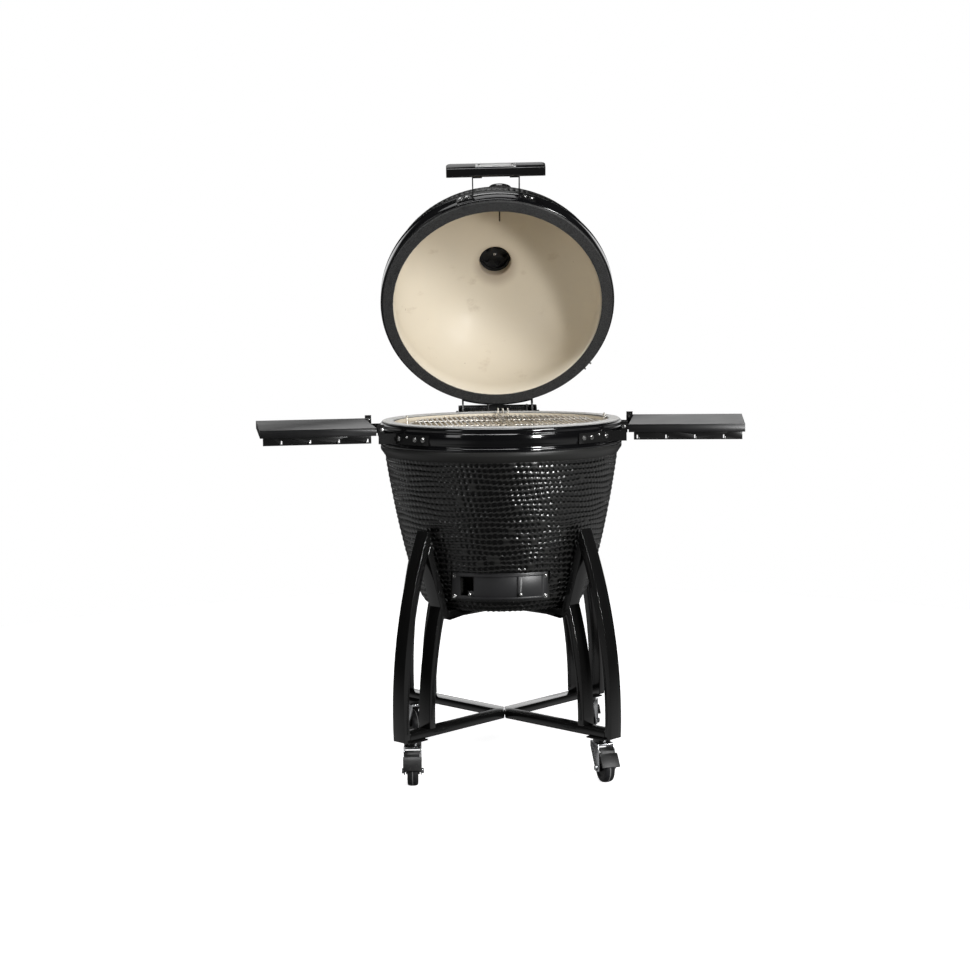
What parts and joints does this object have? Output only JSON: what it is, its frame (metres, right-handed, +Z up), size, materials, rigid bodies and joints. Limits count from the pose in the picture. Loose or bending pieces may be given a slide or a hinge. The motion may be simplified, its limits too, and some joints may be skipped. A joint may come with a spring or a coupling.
{
  "type": "kamado ceramic grill",
  "caption": "Ceramic kamado grill with an open hinged dome lid, fold-down side tables and a four-legged stand on braked swivel casters.",
  "frame": {"origin": "on the floor, on the bowl's vertical axis", "axes": "+Z up; the front, with the draft doors and the lid's handle, faces -Y; +X is to the right seen from the front"},
  "size_m": [1.31, 0.7988, 1.5661],
  "materials": {
    "frame_paint": "gloss",
    "zinc_plate": "polished",
    "wheel_rubber": "satin",
    "pedal_plastic": "satin",
    "bolt_steel": "polished",
    "bowl_glaze": "gloss",
    "lid_glaze": "gloss",
    "band_paint": "gloss",
    "bowl_felt": "matte",
    "lid_felt": "matte",
    "fire_clay": "matte",
    "cast_iron": "matte",
    "vent_iron": "satin",
    "stainless_wire": "polished",
    "draft_paint": "satin",
    "bracket_paint": "satin",
    "spring_paint": "satin",
    "table_paint": "satin",
    "handle_lacquer": "gloss",
    "badge_metal": "brushed",
    "gauge_paint": "satin",
    "gauge_face": "matte",
    "gauge_glass": "gloss",
    "needle_paint": "satin"
  },
  "bodies": {
    "base": {"stand_leg_front_left": "frame_paint", "stand_leg_front_right": "frame_paint", "stand_leg_rear_left": "frame_paint", "stand_leg_rear_right": "frame_paint", "stand_brace_frame_left": "frame_paint", "stand_brace_frame_right": "frame_paint", "lower_cross_left": "frame_paint", "lower_cross_right": "frame_paint", "stand_bolts": "bolt_steel", "caster_plates": "frame_paint", "bowl": "bowl_glaze", "bowl_band": "band_paint", "bowl_gasket": "bowl_felt", "bowl_bolts": "bolt_steel", "fire_box": "fire_clay", "fire_ring": "fire_clay", "charcoal_grate": "cast_iron", "grid_rack": "stainless_wire", "draft_frame": "draft_paint", "table_bracket_left": "bracket_paint", "table_bracket_right": "bracket_paint", "table_pins": "bolt_steel", "hinge_lower_bracket": "bracket_paint", "hinge_pin": "bolt_steel", "hinge_springs": "spring_paint"},
    "lid": {"hinge_upper_bracket": "bracket_paint", "lid_dome": "lid_glaze", "lid_band": "band_paint", "lid_gasket": "lid_felt", "lid_bolts": "bolt_steel", "handle_bar": "handle_lacquer", "handle_arms": "bracket_paint", "badge_plate": "badge_metal", "thermometer_body": "gauge_paint", "thermometer_dial": "gauge_face", "thermometer_lens": "gauge_glass", "vent_base": "vent_iron"},
    "vent_slide": {"vent_slide_plate": "vent_iron"},
    "vent_wheel": {"vent_daisy_wheel": "vent_iron"},
    "gauge_needle": {"thermometer_needle": "needle_paint"},
    "draft_door_left": {"draft_door_left": "draft_paint"},
    "draft_door_right": {"draft_door_right": "draft_paint"},
    "cooking_grate_left": {"cooking_grate_left": "stainless_wire"},
    "cooking_grate_right": {"cooking_grate_right": "stainless_wire"},
    "table_left": {"table_top_left": "table_paint", "table_rails_left": "bracket_paint"},
    "table_right": {"table_top_right": "table_paint", "table_rails_right": "bracket_paint"},
    "caster_front_left": {"caster_fork_front_left": "zinc_plate"},
    "wheel_front_left": {"caster_wheel_front_left": "wheel_rubber"},
    "brake_front_left": {"caster_brake_front_left": "pedal_plastic"},
    "caster_front_right": {"caster_fork_front_right": "zinc_plate"},
    "wheel_front_right": {"caster_wheel_front_right": "wheel_rubber"},
    "brake_front_right": {"caster_brake_front_right": "pedal_plastic"},
    "caster_rear_left": {"caster_fork_rear_left": "zinc_plate"},
    "wheel_rear_left": {"caster_wheel_rear_left": "wheel_rubber"},
    "brake_rear_left": {"caster_brake_rear_left": "pedal_plastic"},
    "caster_rear_right": {"caster_fork_rear_right": "zinc_plate"},
    "wheel_rear_right": {"caster_wheel_rear_right": "wheel_rubber"},
    "brake_rear_right": {"caster_brake_rear_right": "pedal_plastic"}
  },
  "joints": [
    {"name": "lid_hinge", "type": "hinge", "parent": "base", "child": "lid", "pos_m": [0, 0.335, 0.895], "axis": [1, 0, 0], "range_deg": [0, 61.3], "stiffness_Nm_per_rad": 120, "springref_deg": -8.02},
    {"name": "vent_slide_pivot", "type": "hinge", "parent": "lid", "child": "vent_slide", "pos_m": [0, 0.47014, 1.29162], "axis": [0, 0.8771, 0.4802], "range_deg": [0, 75]},
    {"name": "vent_wheel_turn", "type": "hinge", "parent": "vent_slide", "child": "vent_wheel", "pos_m": [0, 0.44516, 1.33723], "axis": [0, 0.8771, 0.4802], "range_deg": [-36, 0]},
    {"name": "gauge_needle_turn", "type": "hinge", "parent": "lid", "child": "gauge_needle", "pos_m": [0.01166, 0.25027, 1.49744], "axis": [0.0338, 0.3172, 0.9477], "range_deg": [-270, 0], "stiffness_Nm_per_rad": 0.002},
    {"name": "draft_door_left_slide", "type": "hinge", "parent": "base", "child": "draft_door_left", "pos_m": [0, 0, 0.497], "axis": [0, 0, 1], "range_deg": [-7, 13.5]},
    {"name": "draft_door_right_slide", "type": "hinge", "parent": "base", "child": "draft_door_right", "pos_m": [0, 0, 0.497], "axis": [0, 0, 1], "range_deg": [-25, 0]},
    {"name": "cooking_grate_left_lift", "type": "slide", "parent": "base", "child": "cooking_grate_left", "axis": [0, 0, 1], "range_m": [0, 0.09]},
    {"name": "cooking_grate_right_lift", "type": "slide", "parent": "base", "child": "cooking_grate_right", "axis": [0, 0, 1], "range_m": [0, 0.09]},
    {"name": "table_left_fold", "type": "hinge", "parent": "base", "child": "table_left", "pos_m": [-0.33008, 0.01346, 0.891], "axis": [0.1305, -0.9914, 0], "range_deg": [0, 80]},
    {"name": "table_right_fold", "type": "hinge", "parent": "base", "child": "table_right", "pos_m": [0.33008, 0.01346, 0.891], "axis": [0.1305, 0.9914, 0], "range_deg": [0, 80]},
    {"name": "caster_swivel_front_left", "type": "hinge", "parent": "base", "child": "caster_front_left", "pos_m": [-0.239, -0.239, 0.095], "axis": [0, 0, 1], "continuous": true},
    {"name": "wheel_spin_front_left", "type": "hinge", "parent": "caster_front_left", "child": "wheel_front_left", "pos_m": [-0.239, -0.261, 0.0375], "axis": [1, 0, 0], "continuous": true},
    {"name": "brake_pedal_front_left", "type": "hinge", "parent": "caster_front_left", "child": "brake_front_left", "pos_m": [-0.239, -0.266, 0.086], "axis": [-1, 0, 0], "range_deg": [0, 15]},
    {"name": "caster_swivel_front_right", "type": "hinge", "parent": "base", "child": "caster_front_right", "pos_m": [0.239, -0.239, 0.095], "axis": [0, 0, 1], "continuous": true},
    {"name": "wheel_spin_front_right", "type": "hinge", "parent": "caster_front_right", "child": "wheel_front_right", "pos_m": [0.24543, -0.26004, 0.0375], "axis": [0.9563, 0.2924, 0], "continuous": true},
    {"name": "brake_pedal_front_right", "type": "hinge", "parent": "caster_front_right", "child": "brake_front_right", "pos_m": [0.2469, -0.26482, 0.086], "axis": [-0.9563, -0.2924, 0], "range_deg": [0, 15]},
    {"name": "caster_swivel_rear_left", "type": "hinge", "parent": "base", "child": "caster_rear_left", "pos_m": [-0.239, 0.239, 0.095], "axis": [0, 0, 1], "continuous": true},
    {"name": "wheel_spin_rear_left", "type": "hinge", "parent": "caster_rear_left", "child": "wheel_rear_left", "pos_m": [-0.24653, 0.25967, 0.0375], "axis": [-0.9397, -0.342, 0], "continuous": true},
    {"name": "brake_pedal_rear_left", "type": "hinge", "parent": "caster_rear_left", "child": "brake_rear_left", "pos_m": [-0.24824, 0.26437, 0.086], "axis": [0.9397, 0.342, 0], "range_deg": [0, 15]},
    {"name": "caster_swivel_rear_right", "type": "hinge", "parent": "base", "child": "caster_rear_right", "pos_m": [0.239, 0.239, 0.095], "axis": [0, 0, 1], "continuous": true},
    {"name": "wheel_spin_rear_right", "type": "hinge", "parent": "caster_rear_right", "child": "wheel_rear_right", "pos_m": [0.2447, 0.26025, 0.0375], "axis": [-0.9659, 0.2588, 0], "continuous": true},
    {"name": "brake_pedal_rear_right", "type": "hinge", "parent": "caster_rear_right", "child": "brake_rear_right", "pos_m": [0.24599, 0.26508, 0.086], "axis": [0.9659, -0.2588, 0], "range_deg": [0, 15]}
  ]
}
